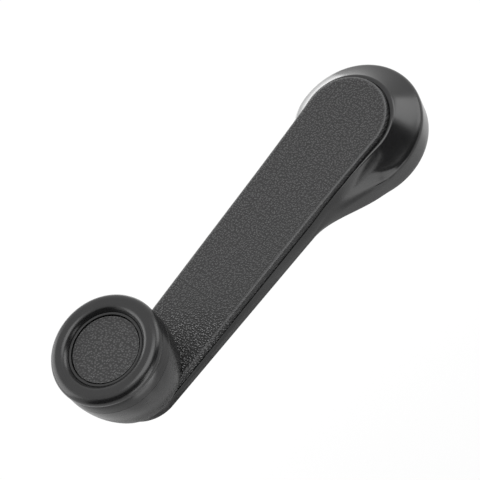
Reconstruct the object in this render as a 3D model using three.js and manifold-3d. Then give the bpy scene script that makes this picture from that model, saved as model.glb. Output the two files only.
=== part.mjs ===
// A car window winder handle: a moulded crank with a grained cover, and a knob that turns on a riveted spindle.
// Millimetres, +Z up. The origin is on the hub's axis in the plane of its back face. The arm points along -X.

import * as THREE from 'three';
import { mergeVertices } from 'three/addons/utils/BufferGeometryUtils.js';
import Module from 'manifold-3d';

const wasm = await Module();
wasm.setup();

// Crank, seen from above
const throwLength = 92; // hub axis to knob axis
const hubBaseRadius = 18.6;
const hubRidgeRadius = 19.8;
const hubRimRadius = 13.75;
const rimOffset = -0.6; // the rim's round is a little towards the arm
const armHalfWidthAtHub = 12.55; // the arm's straight side, carried on to the hub's axis
const armEndRadius = 10.8;
const endOffset = 0.45; // the arm's round end is centred this far short of the knob's axis
const armEdgeRound = 0.5; // how far the arm's lower edge is drawn in
const sideDraft = 0.1; // how far the arm's upper edge is drawn in
const blendReach = 31; // along the side, from the hub's axis to where the side is straight

// Crank, heights
const ridgeHeight = 8;
const rimHeight = 14.1;
const undersideStart = 11; // from the hub's axis to where the underside leaves the back face
const undersideEnd = 33;
const undersideAtBlend = 7.75;
const undersideAtKnob = 10;
const armEdgeHeight = 0.9;
const ridgeRoundShare = 0.12; // of the skirt and of the flank, taken up by the ridge's round
const flankHollowShare = 0.06; // how far the flank's curve is pulled in

// Crank, walls and hollows
const skirtWall = 1.9;
const bellInset = 0.12; // the bell's round back stays this far inside the skirt
const roofHeight = 11.3; // the bell's ceiling
const roofRadius = 12.8;
const bossRadius = 9.2;
const bossRecess = 0.6; // the boss ends short of the back face
const bellRibs = 4;
const bellRibThickness = 1.6;
const ledgeHeight = 13.3; // where the cover sits
const ledgeWidth = 1.5;
const floorThickness = 1.5;
const channelStart = 20.5; // both from the hub's axis
const channelEnd = 83.5;
const channelRibThickness = 1.2;
const channelRibDrop = 0.4; // the ribs stop short of the cover
const channelRibPlaces = [37.5, 62.5]; // from the hub's axis

// Cover
const coverHubRadius = 12.6;
const coverOffset = -0.8;
const coverHalfWidthAtHub = 12.2;
const coverEndRadius = 10.5;
const coverTop = 15.85;
const coverEdgeRound = 0.2;
const coverWall = 1.2;
const coverThickness = 1.5;
const coverGap = 0.3; // between the cover's side and the rim
const coverSlotRadius = 6.6;
const hookPlaces = [26, 50, 74]; // from the hub's axis
const hookWidth = 5;
const hookThickness = 1.2;
const hookLength = 3; // below the cover's plate
const barbReach = 0.6;
const barbHeight = 1;
const barbLead = 0.5;
const hookGap = 0.3;
const barbGap = 0.1; // left beyond the barb's tip

// Spline insert
const splineRadius = 5; // to the middle of the teeth
const splineDepth = 0.3;
const splineTeeth = 36;
const insertRadius = 6.9; // across the corners of its hexagon
const insertFlangeRadius = 7.4;
const insertFlangeThickness = 1.6;
const insertSeat = 8; // the shoulder in the boss
const insertGap = 0.2;

// Screw and its washers
const screwRadius = 2.5;
const screwLength = 8;
const screwHeadRadius = 4.75;
const screwHeadHeight = 2.2;
const screwHeadSide = 1; // the straight part of the head's edge
const screwHeadRound = 1.8; // how far the crown's edge draws in
const screwTipChamfer = 0.7;
const recessWidth = 1;
const recessReach = 2.6;
const recessDepth = 1.5;
const screwWasherRadius = 5.5;
const screwWasherThickness = 0.8;
const lockWasherRadius = 4.6;
const lockWasherThickness = 1.1;
const lockWasherSplit = 0.8;
const screwGap = 0.25;

// Knob spindle and its washers
const shankRadius = 2.6;
const shankGap = 0.3;
const spindleFlangeRadius = 5.5;
const spindleFlangeThickness = 1.2;
const journalRadius = 3.5;
const neckRadius = 2.4;
const spindleHeadRadius = 4.8;
const spindleHeadHeight = 1.2;
const headRound = 1; // how far the edges of both heads draw in
const headRoundHeight = 0.5;
const headWasherRadius = 6.2;
const headWasherThickness = 0.8;
const headClearance = 1.95; // from the spindle's head to the cap
const washerGap = 0.1;
const rivetHeadRadius = 4.3;
const rivetHeadHeight = 0.9;
const rivetWasherRadius = 5.5;
const rivetWasherThickness = 0.8;
const rivetRecess = 11.5; // height of the recess's ceiling
const rivetRecessGap = 0.3;
const waveWasherRadius = 5.4;
const waveWasherBore = 3.8;
const waveWasherThickness = 0.35;
const waveHeight = 0.4;
const waves = 3;

// Knob, heights from the back face, and depths below its top
const footHeight = 16.4;
const knobTop = 38.4;
const bulgeDepth = 7.25; // the widest place, where the mould parts
const waistDepth = 3.7;
const dishDepth = 1.4;
const capSeatDepth = 3.5;

// Knob, radii
const footRadius = 13.1;
const footRound = 0.7;
const footFlare = 0.45; // how far the side has opened where the foot's round ends
const bulgeRadius = 16.25;
const waistRadius = 15.5;
const knobRimRadius = 16.3;
const knobRimRound = 2.35;
const rimRoundShare = 0.17; // of a half turn, how far the rim's round goes on under its outer edge
const dishRadius = 12;
const dishFloorRadius = 10.95;
const boreRadius = 10.1;
const knobWall = 2.1;
const knobFloor = 2;
const capLedgeWidth = 0.9;
const capLedgeThickness = 1.3;
const bearingTubeWall = 2;
const knobRibs = 6;
const knobRibThickness = 1.4;
const knobRibDrop = 4; // the ribs stop below the tube's end

// Knob cap
const capGap = 0.3;
const capFaceDepth = 1.6; // below the knob's top
const capChamfer = 0.1;
const tongueThickness = 1.1;
const tongueLength = 3;
const tongueWidth = 5;
const tongueBarb = 0.6;
const tongueGap = 0.3;

// Bush
const bushWall = 1.3;
const runningGap = 0.25;
const endPlay = 0.3;
const bushFlangeRadius = 6;
const bushFlangeThickness = 0.9;
const pressGap = 0.1;

// Facets
const hubSteps = 20; // all four along one side of the crank
const blendSteps = 8;
const armSteps = 4;
const endSteps = 9;
const ridgeSteps = 3; // the next two up the crank's side
const flankSteps = 4;
const knobFootSteps = 2; // the next three up the knob's side
const knobSideSteps = 4;
const knobRimSteps = 6;
const headSteps = 2;
const largeSides = 48;
const smallSides = 32;
const overrun = 1; // how far a cut runs past what it cuts
const sink = 0.4; // how far joined shapes run into each other

// Finishes
const finishes = {
  body: { color: 0x242526, roughness: 0.42, metalness: 0 },
  grain: { color: 0x2c2d2e, roughness: 0.62, metalness: 0 },
  knob: { color: 0x242526, roughness: 0.4, metalness: 0 },
  bush: { color: 0xd9d5c8, roughness: 0.5, metalness: 0 },
  steel: { color: 0x9a9ca0, roughness: 0.35, metalness: 1 },
  zinc: { color: 0xb4b6ba, roughness: 0.4, metalness: 1 },
};

// Places that follow from the sizes
const armLength = throwLength - endOffset;
const insertTop = insertSeat + insertFlangeThickness;
const screwWasherTop = insertTop + screwWasherThickness;
const lockWasherTop = screwWasherTop + lockWasherThickness;
const coverUnderside = coverTop - coverThickness;
const spindleFlangeTop = ledgeHeight + spindleFlangeThickness;
const bulgeHeight = knobTop - bulgeDepth;
const waistHeight = knobTop - waistDepth;
const dishFloor = knobTop - dishDepth;
const capSeat = knobTop - capSeatDepth;
const capFace = knobTop - capFaceDepth;
const headWasherTop = capSeat - headClearance - spindleHeadHeight;
const journalTop = headWasherTop - headWasherThickness;
const rivetTop = rivetRecess - rivetWasherThickness;
const bushTop = journalTop - endPlay;
const bushInner = journalRadius + runningGap;
const bushOuter = bushInner + bushWall;
const tubeInner = bushOuter + pressGap;
const tubeOuter = tubeInner + bearingTubeWall;

const v2 = (x, y) => new THREE.Vector2(x, y);
const v3 = (x, y, z) => new THREE.Vector3(x, y, z);

// A closed three.js geometry as a solid that can be cut and joined
function solid(geometry) {
  const bare = geometry.clone();
  bare.deleteAttribute('normal');
  bare.deleteAttribute('uv');
  const welded = mergeVertices(bare);
  const corners = welded.index.array;
  const kept = [];
  for (let i = 0; i < corners.length; i += 3) {
    const [a, b, c] = corners.slice(i, i + 3);
    if (a !== b && b !== c && c !== a) kept.push(a, b, c);
  }
  const mesh = new wasm.Mesh({
    numProp: 3,
    vertProperties: Float32Array.from(welded.attributes.position.array),
    triVerts: Uint32Array.from(kept),
  });
  return new wasm.Manifold(mesh);
}

function geometryOf(shape) {
  const mesh = shape.getMesh();
  const geometry = new THREE.BufferGeometry();
  geometry.setAttribute('position', new THREE.BufferAttribute(mesh.vertProperties, 3));
  geometry.setIndex(new THREE.BufferAttribute(mesh.triVerts, 1));
  geometry.computeVertexNormals();
  return geometry;
}

function joined(shapes) {
  return shapes.reduce((whole, shape) => whole.add(shape));
}

// An outline seen from above, raised from one height to another
function prism(points, bottom, top) {
  const geometry = new THREE.ExtrudeGeometry(new THREE.Shape(points), {
    depth: top - bottom,
    bevelEnabled: false,
  });
  return geometry.translate(0, 0, bottom);
}

// A profile of [radius, height] pairs turned about the Z axis
function turned(profile, sides) {
  const points = profile.map(([radius, height]) => v2(radius, height));
  return new THREE.LatheGeometry(points, sides).rotateX(Math.PI / 2);
}

// A closed profile, such as a washer's, listed counter-clockwise with the radius to the right
function turnedRing(profile, sides) {
  return turned([...profile, profile[0]], sides);
}

function washer(bore, radius, bottom, top, sides) {
  return turnedRing([[bore, bottom], [radius, bottom], [radius, top], [bore, top]], sides);
}

function disc(radius, bottom, top, sides) {
  return turned([[0, bottom], [radius, bottom], [radius, top], [0, top]], sides);
}

function block(x0, x1, y0, y1, z0, z1) {
  const geometry = new THREE.BoxGeometry(x1 - x0, y1 - y0, z1 - z0);
  return geometry.translate((x0 + x1) / 2, (y0 + y1) / 2, (z0 + z1) / 2);
}

function arcPoints(centre, radius, from, to, steps) {
  const points = [];
  for (let i = 0; i <= steps; i += 1) {
    const angle = THREE.MathUtils.lerp(from, to, i / steps);
    points.push(v2(centre.x + radius * Math.cos(angle), centre.y + radius * Math.sin(angle)));
  }
  return points;
}

// The crank's outlines share one form: a round hub, a curve into a straight tapering side, and a round end.
// The curve ends at blendReach in all of them, so that their points lie side by side.
const outlines = {
  base: {
    hubX: 0,
    hubRadius: hubBaseRadius,
    side: armHalfWidthAtHub - armEdgeRound,
    end: armEndRadius - armEdgeRound,
  },
  ridge: { hubX: 0, hubRadius: hubRidgeRadius, side: armHalfWidthAtHub, end: armEndRadius },
  rim: {
    hubX: rimOffset,
    hubRadius: hubRimRadius,
    side: armHalfWidthAtHub - sideDraft,
    end: armEndRadius - sideDraft,
  },
  cover: {
    hubX: coverOffset,
    hubRadius: coverHubRadius,
    side: coverHalfWidthAtHub,
    end: coverEndRadius,
  },
};

function grown(outline, by) {
  return {
    hubX: outline.hubX,
    hubRadius: outline.hubRadius + by,
    side: outline.side + by,
    end: outline.end + by,
  };
}

function sideNormalAngle({ hubX, side, end }) {
  return Math.PI / 2 + Math.asin((side - end) / (hubX + armLength));
}

// Half width of the straight side at a distance from the hub's axis
function halfWidthAt(outline, distance) {
  const angle = sideNormalAngle(outline);
  return (outline.side + (distance + outline.hubX) * Math.cos(angle)) / Math.sin(angle);
}

function halfOutline(outline) {
  const { hubX, hubRadius, side, end } = outline;
  const hub = v2(hubX, 0);
  const tip = v2(-armLength, 0);
  const sideAngle = sideNormalAngle(outline);
  const normal = v2(Math.cos(sideAngle), Math.sin(sideAngle));
  const along = v2(-normal.y, normal.x);
  const reach = blendReach + hubX;
  const blendRadius = (reach ** 2 / (hubRadius - side) - (hubRadius + side)) / 2;
  const blendCentre = hub.clone().addScaledVector(normal, side + blendRadius).addScaledVector(along, reach);
  const hollow = Math.sign(blendRadius); // -1 where the hub is narrower than the side, and the curve swells
  const hubAngle = blendCentre.clone().sub(hub).multiplyScalar(hollow).angle();
  const sideStart = blendCentre.clone().addScaledVector(normal, -blendRadius);
  const sideEnd = tip.clone().addScaledVector(normal, end);
  const turn = hollow > 0 ? Math.PI : 0;
  const blend = arcPoints(blendCentre, Math.abs(blendRadius), hubAngle + turn, sideAngle + turn, blendSteps);
  const points = [...arcPoints(hub, hubRadius, 0, hubAngle, hubSteps), ...blend.slice(1)];
  for (let i = 1; i <= armSteps; i += 1) points.push(sideStart.clone().lerp(sideEnd, i / armSteps));
  points.push(...arcPoints(tip, end, sideAngle, Math.PI, endSteps).slice(1));
  return points;
}

// The whole outline, counter-clockwise from the hub's tip
function wholeOutline(outline) {
  const half = halfOutline(outline);
  const other = half.slice(1, -1).reverse().map((p) => v2(p.x, -p.y));
  return [...half, ...other];
}

// Rows of points from the lowest to the highest, each an outline that is alike on both sides of the X axis
function loft(rows) {
  const count = rows[0].length;
  const index = [];
  const face = (a, b, c) => {
    if (a !== b && b !== c && c !== a) index.push(a, b, c);
  };
  rows.slice(1).forEach((_, row) => {
    for (let i = 0; i < count; i += 1) {
      const next = (i + 1) % count;
      const low = row * count;
      const high = low + count;
      face(low + i, low + next, high + next);
      face(low + i, high + next, high + i);
    }
  });
  const top = (rows.length - 1) * count;
  for (let i = 0; i < count / 2; i += 1) {
    const right = (count - i) % count;
    const rightNext = count - i - 1;
    face(top + i, top + i + 1, top + rightNext);
    face(top + i, top + rightNext, top + right);
    face(i, rightNext, i + 1);
    face(i, right, rightNext);
  }
  const geometry = new THREE.BufferGeometry();
  const positions = rows.flat().flatMap((p) => p.toArray());
  geometry.setAttribute('position', new THREE.Float32BufferAttribute(positions, 3));
  geometry.setIndex(index);
  return geometry;
}

// Height of the crank's underside at a distance from the hub's axis towards the knob
function undersideAt(distance) {
  if (distance > undersideEnd) {
    const share = (distance - undersideEnd) / (throwLength - undersideEnd);
    return THREE.MathUtils.lerp(undersideAtBlend, undersideAtKnob, share);
  }
  return undersideAtBlend * THREE.MathUtils.smoothstep(distance, undersideStart, undersideEnd);
}

// The ridge starts at its full height on the hub and ends as the arm's rounded lower edge
function ridgeAt(distance) {
  const share = THREE.MathUtils.smoothstep(distance, undersideStart, undersideEnd);
  return undersideAt(distance) + THREE.MathUtils.lerp(ridgeHeight, armEdgeHeight, share);
}

// The crank's outside as one filled form
function crankForm() {
  const rim = wholeOutline(outlines.rim).map((p) => v3(p.x, p.y, rimHeight));
  const ridge = wholeOutline(outlines.ridge).map((p) => v3(p.x, p.y, ridgeAt(-p.x)));
  const base = wholeOutline(outlines.base).map((p) => v3(p.x, p.y, undersideAt(-p.x)));
  const columns = rim.map((rimPoint, i) => {
    const skirtTop = ridge[i].clone().lerp(base[i], ridgeRoundShare);
    const flankFoot = ridge[i].clone().lerp(rimPoint, ridgeRoundShare);
    const hollow = flankFoot.clone().lerp(rimPoint, 1 / 2 + flankHollowShare);
    hollow.z = THREE.MathUtils.lerp(flankFoot.z, rimPoint.z, 1 / 2 - flankHollowShare);
    const edge = new THREE.QuadraticBezierCurve3(skirtTop, ridge[i], flankFoot).getPoints(ridgeSteps);
    const flank = new THREE.QuadraticBezierCurve3(flankFoot, hollow, rimPoint).getPoints(flankSteps);
    return [base[i], ...edge, ...flank.slice(1)];
  });
  const rows = columns[0].map((_, row) => columns.map((column) => column[row]));
  return solid(loft(rows));
}

// The bell's back, a full round that the arm's underside runs into
function bellBack() {
  const top = ridgeHeight * (1 - ridgeRoundShare);
  const wallTop = THREE.MathUtils.lerp(hubRidgeRadius, hubBaseRadius, ridgeRoundShare) - bellInset;
  return solid(turned([[0, 0], [hubBaseRadius - bellInset, 0], [wallTop, top], [0, top]], largeSides));
}

// The ring-shaped hollow between the boss and the skirt, with ribs left standing in it
function bellHollow() {
  const inner = hubBaseRadius - skirtWall;
  const shoulder = ridgeHeight - skirtWall / 2;
  const ring = solid(turnedRing([
    [bossRadius, -overrun],
    [inner, -overrun],
    [inner, 0],
    [hubRidgeRadius - skirtWall, shoulder],
    [roofRadius, roofHeight],
    [bossRadius, roofHeight],
  ], largeSides));
  const ribs = [];
  for (let i = 0; i < bellRibs; i += 1) {
    const half = bellRibThickness / 2;
    const rib = block(0, hubRidgeRadius, -half, half, bossRecess, rimHeight);
    ribs.push(solid(rib.rotateZ(((i + 1 / 2) * 2 * Math.PI) / bellRibs)));
  }
  return ring.subtract(joined(ribs));
}

// The channel under the cover, with a floor as thick everywhere as the underside runs
function armChannel(form) {
  const inner = grown(outlines.cover, -ledgeWidth);
  const start = halfWidthAt(inner, channelStart);
  const end = halfWidthAt(inner, channelEnd);
  const trapezium = [
    v2(-channelStart, start),
    v2(-channelEnd, end),
    v2(-channelEnd, -end),
    v2(-channelStart, -start),
  ];
  const prismShape = solid(prism(trapezium, 0, rimHeight + overrun));
  const ribTop = ledgeHeight - channelRibDrop;
  const half = channelRibThickness / 2;
  const ribs = channelRibPlaces.map((place) =>
    solid(block(-place - half, -place + half, -hubRidgeRadius, hubRidgeRadius, 0, ribTop)));
  ribs.push(solid(block(-channelEnd - overrun, 0, -half, half, 0, ribTop)));
  return prismShape.intersect(form.translate([0, 0, floorThickness])).subtract(joined(ribs));
}

const hookFoot = coverUnderside - hookLength;

// A pocket in the channel's wall for the barb of each hook
function barbPockets() {
  const inner = grown(outlines.cover, -ledgeWidth);
  const half = hookWidth / 2 + hookGap;
  const pockets = hookPlaces.flatMap((place) => {
    const wall = halfWidthAt(inner, place - half);
    return [1, -1].map((sign) => {
      const y0 = sign * (wall - hookThickness);
      const y1 = sign * (wall + barbReach + barbGap);
      const z = [hookFoot - hookGap, hookFoot + barbHeight + hookGap];
      return solid(block(-place - half, -place + half, Math.min(y0, y1), Math.max(y0, y1), ...z));
    });
  });
  return joined(pockets);
}

function hexagon(radius, bottom, top) {
  return disc(radius, bottom, top, 6);
}

function crankBody() {
  const form = crankForm();
  const rebateOutline = wholeOutline(grown(outlines.cover, coverGap));
  const rebate = solid(prism(rebateOutline, ledgeHeight, rimHeight + overrun));
  const insertHole = solid(hexagon(insertRadius + insertGap, -overrun, insertSeat + overrun));
  const flangeHole = solid(disc(insertFlangeRadius + insertGap, insertSeat, rimHeight + overrun, largeSides));
  const bossEnd = solid(disc(bossRadius + sink, -overrun, bossRecess, largeSides));
  const spindleHole = solid(
    disc(shankRadius + shankGap, 0, rimHeight, smallSides).translate(-throwLength, 0, 0));
  const rivetSeat = solid(
    disc(rivetWasherRadius + rivetRecessGap, 0, rivetRecess, smallSides).translate(-throwLength, 0, 0));
  const hollows = [rebate, bellHollow(), armChannel(form), barbPockets()];
  const holes = [insertHole, flangeHole, bossEnd, spindleHole, rivetSeat];
  return form.add(bellBack()).subtract(joined([...hollows, ...holes]));
}

// One snap hook, a leg along the channel's wall with a barb at its foot
function coverHook(place, sign) {
  const inner = grown(outlines.cover, -ledgeWidth);
  const outer = halfWidthAt(inner, place + hookWidth / 2) - hookGap;
  const tip = outer + barbReach;
  const barbTop = hookFoot + barbHeight;
  const section = [
    [outer - hookThickness, coverUnderside + sink],
    [outer - hookThickness, hookFoot],
    [outer, hookFoot],
    [tip, hookFoot + barbLead],
    [tip, barbTop],
    [outer, barbTop],
    [outer, coverUnderside + sink],
  ].map(([y, z]) => v2(sign * y, z));
  const leg = prism(section, 0, hookWidth).rotateX(Math.PI / 2).rotateZ(Math.PI / 2);
  return solid(leg.translate(-place - hookWidth / 2, 0, 0));
}

// The cover is a shallow tray turned over, with a slot at the knob's end that clears the spindle
function armCover() {
  const row = (by, z) => wholeOutline(grown(outlines.cover, by)).map((p) => v3(p.x, p.y, z));
  const outside = loft([
    row(0, ledgeHeight),
    row(0, coverTop - coverEdgeRound),
    row(-coverEdgeRound, coverTop),
  ]);
  const insideOutline = wholeOutline(grown(outlines.cover, -coverWall));
  const inside = prism(insideOutline, ledgeHeight - overrun, coverUnderside);
  const slotEnd = -throwLength - coverEndRadius - overrun;
  const slot = [
    ...arcPoints(v2(-throwLength, 0), coverSlotRadius, -Math.PI / 2, Math.PI / 2, smallSides / 2),
    v2(slotEnd, coverSlotRadius),
    v2(slotEnd, -coverSlotRadius),
  ];
  const tray = solid(outside).subtract(solid(inside));
  const hooks = hookPlaces.flatMap((place) => [1, -1].map((sign) => coverHook(place, sign)));
  return joined([tray, ...hooks]).subtract(solid(prism(slot, 0, coverTop + overrun)));
}

// The steel socket, a hexagon with a flange on top and serrations inside
function splineInsert() {
  const teeth = [];
  for (let i = 0; i < splineTeeth * 2; i += 1) {
    const angle = (i * Math.PI) / splineTeeth;
    const radius = splineRadius + (i % 2 ? splineDepth : -splineDepth);
    teeth.push(v2(radius * Math.cos(angle), radius * Math.sin(angle)));
  }
  const body = solid(hexagon(insertRadius, bossRecess, insertSeat + sink));
  const flange = solid(disc(insertFlangeRadius, insertSeat, insertTop, smallSides));
  const socket = solid(prism(teeth, bossRecess - overrun, insertSeat));
  const hole = solid(disc(screwRadius + screwGap, insertSeat - sink, insertTop + overrun, smallSides));
  return body.add(flange).subtract(socket).subtract(hole);
}

// The rounded edge of a head, as [radius, height] pairs up its side and in over its top
function headEdge(radius, from, top, round) {
  const curve = new THREE.QuadraticBezierCurve(v2(radius, from), v2(radius, top), v2(radius - round, top));
  return curve.getPoints(headSteps).map((p) => p.toArray());
}

function fixingScrew() {
  const tip = lockWasherTop - screwLength;
  const top = lockWasherTop + screwHeadHeight;
  const blank = solid(turned([
    [0, tip],
    [screwRadius - screwTipChamfer, tip],
    [screwRadius, tip + screwTipChamfer],
    [screwRadius, lockWasherTop],
    [screwHeadRadius, lockWasherTop],
    ...headEdge(screwHeadRadius, lockWasherTop + screwHeadSide, top, screwHeadRound),
    [0, top],
  ], smallSides));
  const half = recessWidth / 2;
  const floor = top - recessDepth;
  const cross = joined([
    solid(block(-recessReach, recessReach, -half, half, floor, top + overrun)),
    solid(block(-half, half, -recessReach, recessReach, floor, top + overrun)),
  ]);
  return blank.subtract(cross);
}

function lockWasher() {
  const bore = screwRadius + screwGap;
  const ring = solid(washer(bore, lockWasherRadius, screwWasherTop, lockWasherTop, smallSides));
  const half = lockWasherSplit / 2;
  const heights = [screwWasherTop - overrun, lockWasherTop + overrun];
  const split = block(0, lockWasherRadius + overrun, -half, half, ...heights);
  return ring.subtract(solid(split));
}

// A flat ring whose height runs in waves
function waveWasher() {
  const rings = [[waveWasherBore, 0], [waveWasherRadius, 0], [waveWasherRadius, 1], [waveWasherBore, 1]];
  const positions = [];
  const index = [];
  for (let i = 0; i < largeSides; i += 1) {
    const angle = (i * 2 * Math.PI) / largeSides;
    const rise = (waveHeight / 2) * (1 - Math.cos(waves * angle));
    rings.forEach(([radius, level], k) => {
      const z = spindleFlangeTop + rise + level * waveWasherThickness;
      positions.push(radius * Math.cos(angle), radius * Math.sin(angle), z);
      const here = i * rings.length;
      const there = ((i + 1) % largeSides) * rings.length;
      const next = (k + 1) % rings.length;
      index.push(here + k, there + k, there + next, here + k, there + next, here + next);
    });
  }
  const geometry = new THREE.BufferGeometry();
  geometry.setAttribute('position', new THREE.Float32BufferAttribute(positions, 3));
  geometry.setIndex(index);
  geometry.computeVertexNormals();
  return geometry;
}

// One steel rivet: a formed head in the arm's back, a flange, a journal, and a head that keeps the knob on
function knobSpindle() {
  const rivetFoot = rivetTop - rivetHeadHeight;
  const headTop = headWasherTop + spindleHeadHeight;
  return turned([
    [0, rivetFoot],
    ...headEdge(rivetHeadRadius, rivetFoot + headRoundHeight, rivetFoot, headRound).reverse(),
    [rivetHeadRadius, rivetTop],
    [shankRadius, rivetTop],
    [shankRadius, ledgeHeight],
    [spindleFlangeRadius, ledgeHeight],
    [spindleFlangeRadius, spindleFlangeTop],
    [journalRadius, spindleFlangeTop],
    [journalRadius, journalTop],
    [neckRadius, journalTop],
    [neckRadius, headWasherTop],
    [spindleHeadRadius, headWasherTop],
    ...headEdge(spindleHeadRadius, headTop - headRoundHeight, headTop, headRound),
    [0, headTop],
  ], smallSides);
}

function knobBush() {
  return turnedRing([
    [bushInner, footHeight - bushFlangeThickness],
    [bushFlangeRadius, footHeight - bushFlangeThickness],
    [bushFlangeRadius, footHeight],
    [bushOuter, footHeight],
    [bushOuter, bushTop],
    [bushInner, bushTop],
  ], smallSides);
}

// The knob's outside, from the foot to the bulge, in to the waist, round the rim and down into the dish
function knobOutside() {
  const footSide = v2(footRadius + footFlare, footHeight + footRound + footFlare);
  const foot = new THREE.QuadraticBezierCurve(
    v2(footRadius - footRound, footHeight), v2(footRadius, footHeight), footSide);
  const side = new THREE.QuadraticBezierCurve(
    footSide, v2(bulgeRadius, (footSide.y + bulgeHeight) / 2), v2(bulgeRadius, bulgeHeight));
  const middle = (bulgeHeight + waistHeight) / 2;
  const shoulder = new THREE.CubicBezierCurve(
    v2(bulgeRadius, bulgeHeight),
    v2(bulgeRadius, middle),
    v2(waistRadius, middle),
    v2(waistRadius, waistHeight));
  const rimCentre = v2(knobRimRadius - knobRimRound, knobTop - knobRimRound);
  const rimStart = -Math.PI * rimRoundShare;
  return [
    ...foot.getPoints(knobFootSteps),
    ...side.getPoints(knobSideSteps).slice(1),
    ...shoulder.getPoints(knobSideSteps).slice(1),
    ...arcPoints(rimCentre, knobRimRound, rimStart, Math.PI / 2, knobRimSteps),
    v2(dishRadius, knobTop),
    v2(dishFloorRadius, dishFloor),
    v2(boreRadius, dishFloor),
  ].map((p) => [p.x, p.y]);
}

// The knob's inside above its floor, round the bearing tube and up to the ledge that the cap sits on
function knobHollow() {
  const floorTop = footHeight + knobFloor;
  const ledgeInner = boreRadius - capLedgeWidth;
  const hollow = solid(turned([
    [0, bushTop],
    [tubeOuter, bushTop],
    [tubeOuter, floorTop],
    [footRadius - knobWall, floorTop],
    [bulgeRadius - knobWall, bulgeHeight],
    [ledgeInner, capSeat - capLedgeThickness],
    [ledgeInner, capSeat + overrun],
    [0, capSeat + overrun],
  ], largeSides));
  const half = knobRibThickness / 2;
  const ribs = [];
  for (let i = 0; i < knobRibs; i += 1) {
    const rib = block(0, bulgeRadius, -half, half, footHeight, bushTop - knobRibDrop);
    ribs.push(solid(rib.rotateZ((i * 2 * Math.PI) / knobRibs)));
  }
  return hollow.subtract(joined(ribs));
}

function knobBody() {
  const blank = solid(turnedRing([
    [tubeInner, footHeight],
    ...knobOutside(),
    [boreRadius, capSeat],
    [tubeInner, capSeat],
  ], largeSides));
  return blank.subtract(knobHollow());
}

// The grained disc let into the dish, with tongues that snap under the knob's ledge
function knobCap() {
  const outer = boreRadius - capGap;
  const plate = solid(turned([
    [0, capSeat],
    [outer, capSeat],
    [outer, capFace - capChamfer],
    [outer - capChamfer, capFace],
    [0, capFace],
  ], largeSides));
  const tongueOuter = boreRadius - capLedgeWidth - tongueGap;
  const tongueInner = tongueOuter - tongueThickness;
  const hookTop = capSeat - capLedgeThickness - tongueGap;
  const foot = capSeat - tongueLength;
  const ring = solid(turnedRing([
    [tongueInner, foot],
    [tongueOuter, foot],
    [tongueOuter + tongueBarb, (foot + hookTop) / 2],
    [tongueOuter + tongueBarb, hookTop],
    [tongueOuter, hookTop],
    [tongueOuter, capSeat + sink],
    [tongueInner, capSeat + sink],
  ], largeSides));
  const half = tongueWidth / 2;
  const top = capSeat + overrun;
  const cross = joined([
    solid(block(-boreRadius, boreRadius, -half, half, foot - overrun, top)),
    solid(block(-half, half, -boreRadius, boreRadius, foot - overrun, top)),
  ]);
  return plate.add(ring.intersect(cross));
}

function piece(name, shape, finish) {
  const geometry = shape.isBufferGeometry ? shape : geometryOf(shape);
  const mesh = new THREE.Mesh(geometry, new THREE.MeshStandardMaterial(finish));
  mesh.name = name;
  return mesh;
}

const hub = new THREE.Group();
const flatWasher = washer(screwRadius + screwGap, screwWasherRadius, insertTop, screwWasherTop, smallSides);
hub.add(
  piece('crank_body', crankBody(), finishes.body),
  piece('arm_cover', armCover(), finishes.grain),
  piece('spline_insert', splineInsert(), finishes.steel),
  piece('screw_washer', flatWasher, finishes.zinc),
  piece('screw_lock_washer', lockWasher(), finishes.steel),
  piece('fixing_screw', fixingScrew(), finishes.zinc),
);

const knob = new THREE.Group();
const rivetWasher = washer(shankRadius + washerGap, rivetWasherRadius, rivetTop, rivetRecess, smallSides);
const headWasher = washer(neckRadius + washerGap, headWasherRadius, journalTop, headWasherTop, smallSides);
knob.add(
  piece('knob_spindle', knobSpindle(), finishes.steel),
  piece('rivet_washer', rivetWasher, finishes.zinc),
  piece('knob_wave_washer', waveWasher(), finishes.steel),
  piece('knob_bush', knobBush(), finishes.bush),
  piece('knob_body', knobBody(), finishes.knob),
  piece('spindle_head_washer', headWasher, finishes.zinc),
  piece('knob_cap', knobCap(), finishes.grain),
);
knob.position.x = -throwLength;

const winder = new THREE.Group();
winder.add(hub, knob);

export default winder;
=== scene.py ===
# Car window winder handle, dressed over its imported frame.
# Lengths are in millimetres and turn into metres when a mesh is made.
# The studio's own places and distances are in metres.
import math

import bpy
from mathutils import Matrix, Vector


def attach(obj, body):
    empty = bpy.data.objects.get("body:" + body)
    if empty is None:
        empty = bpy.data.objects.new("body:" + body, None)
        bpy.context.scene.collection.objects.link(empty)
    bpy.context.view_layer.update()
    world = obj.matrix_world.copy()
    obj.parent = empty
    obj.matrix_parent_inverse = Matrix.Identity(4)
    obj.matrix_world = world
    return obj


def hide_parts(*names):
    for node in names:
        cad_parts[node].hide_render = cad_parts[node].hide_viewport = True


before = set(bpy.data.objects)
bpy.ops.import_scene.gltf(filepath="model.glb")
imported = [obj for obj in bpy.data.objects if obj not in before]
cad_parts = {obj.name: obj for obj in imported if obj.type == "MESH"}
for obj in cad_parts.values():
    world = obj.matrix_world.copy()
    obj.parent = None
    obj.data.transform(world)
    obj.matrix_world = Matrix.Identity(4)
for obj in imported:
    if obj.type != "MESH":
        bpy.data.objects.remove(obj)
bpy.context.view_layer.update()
mm = 0.001
throw = 92  # hub axis to knob axis, the knob is at -X
sharpAngle = 32  # edges that turn by more degrees than this stay crisp
sides = {"hub": 192, "knob": 192, "hollow": 128, "hole": 96, "shank": 64, "insert": 6}
print("frame loaded,", len(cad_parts), "nodes")


# Shapes

def spread(start, end, steps):
    return [start + (end - start) * i / steps for i in range(steps + 1)]


def mix(a, b, share):
    return tuple(p + (q - p) * share for p, q in zip(a, b))


def smoothStep(value, low, high):
    t = min(1, max(0, (value - low) / (high - low)))
    return t * t * (3 - 2 * t)


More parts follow.
